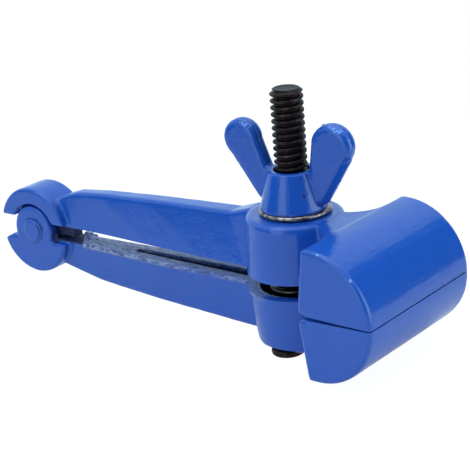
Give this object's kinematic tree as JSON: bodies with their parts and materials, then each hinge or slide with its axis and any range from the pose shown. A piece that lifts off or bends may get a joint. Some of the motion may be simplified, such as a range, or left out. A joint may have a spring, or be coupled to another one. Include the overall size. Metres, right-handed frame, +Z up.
{
  "type": "hand vise",
  "caption": "Small cast hand vise: two hinged arms with wide rounded jaws, closed by a bolt and a wing nut against a coil spring.",
  "frame": {"origin": "on the clamp bolt's axis, on the flat underside of its cross head, which is what the vise stands on", "axes": "+X from the knuckle towards the jaws, +Y along the jaws, +Z up along the bolt towards the wing nut"},
  "size_m": [0.1266, 0.041, 0.0623],
  "materials": {
    "enamel": "glossy royal blue enamel over cast iron",
    "black_steel": "black oxide",
    "spring_steel": "dark drawn wire",
    "bright_steel": "bright zinc"
  },
  "bodies": {
    "lower_jaw": {"lower_arm": "enamel", "hinge_rivet": "enamel", "opening_spring": "spring_steel"},
    "upper_jaw": {"upper_arm": "enamel"},
    "bolt": {"clamp_bolt": "black_steel"},
    "washer": {"washer": "bright_steel"},
    "nut": {"wing_nut": "enamel"}
  },
  "joints": [
    {"name": "jaw_open", "type": "hinge", "parent": "lower_jaw", "child": "upper_jaw", "pos_m": [-0.0823, 0, 0.017], "axis": [0, -1, 0], "range_deg": [0, 12], "deforming": ["opening_spring"]},
    {"name": "bolt_lean", "type": "hinge", "parent": "lower_jaw", "child": "bolt", "pos_m": [0, 0, 0.0017], "axis": [0, -1, 0], "range_deg": [0, 5.57]},
    {"name": "washer_slide", "type": "slide", "parent": "bolt", "child": "washer", "axis": [0, 0, 1], "range_m": [0, 0.0181]},
    {"name": "nut_turn", "type": "hinge", "parent": "washer", "child": "nut", "pos_m": [0, 0, 0.035], "axis": [0, 0, 1], "range_deg": [0, 4101]}
  ],
  "couplings": [
    {"joint": "bolt_lean", "follows": "jaw_open", "ratio": 0.46407},
    {"joint": "washer_slide", "follows": "jaw_open", "m_per_rad": 0.086338},
    {"joint": "nut_turn", "follows": "jaw_open", "ratio": 341.72}
  ]
}
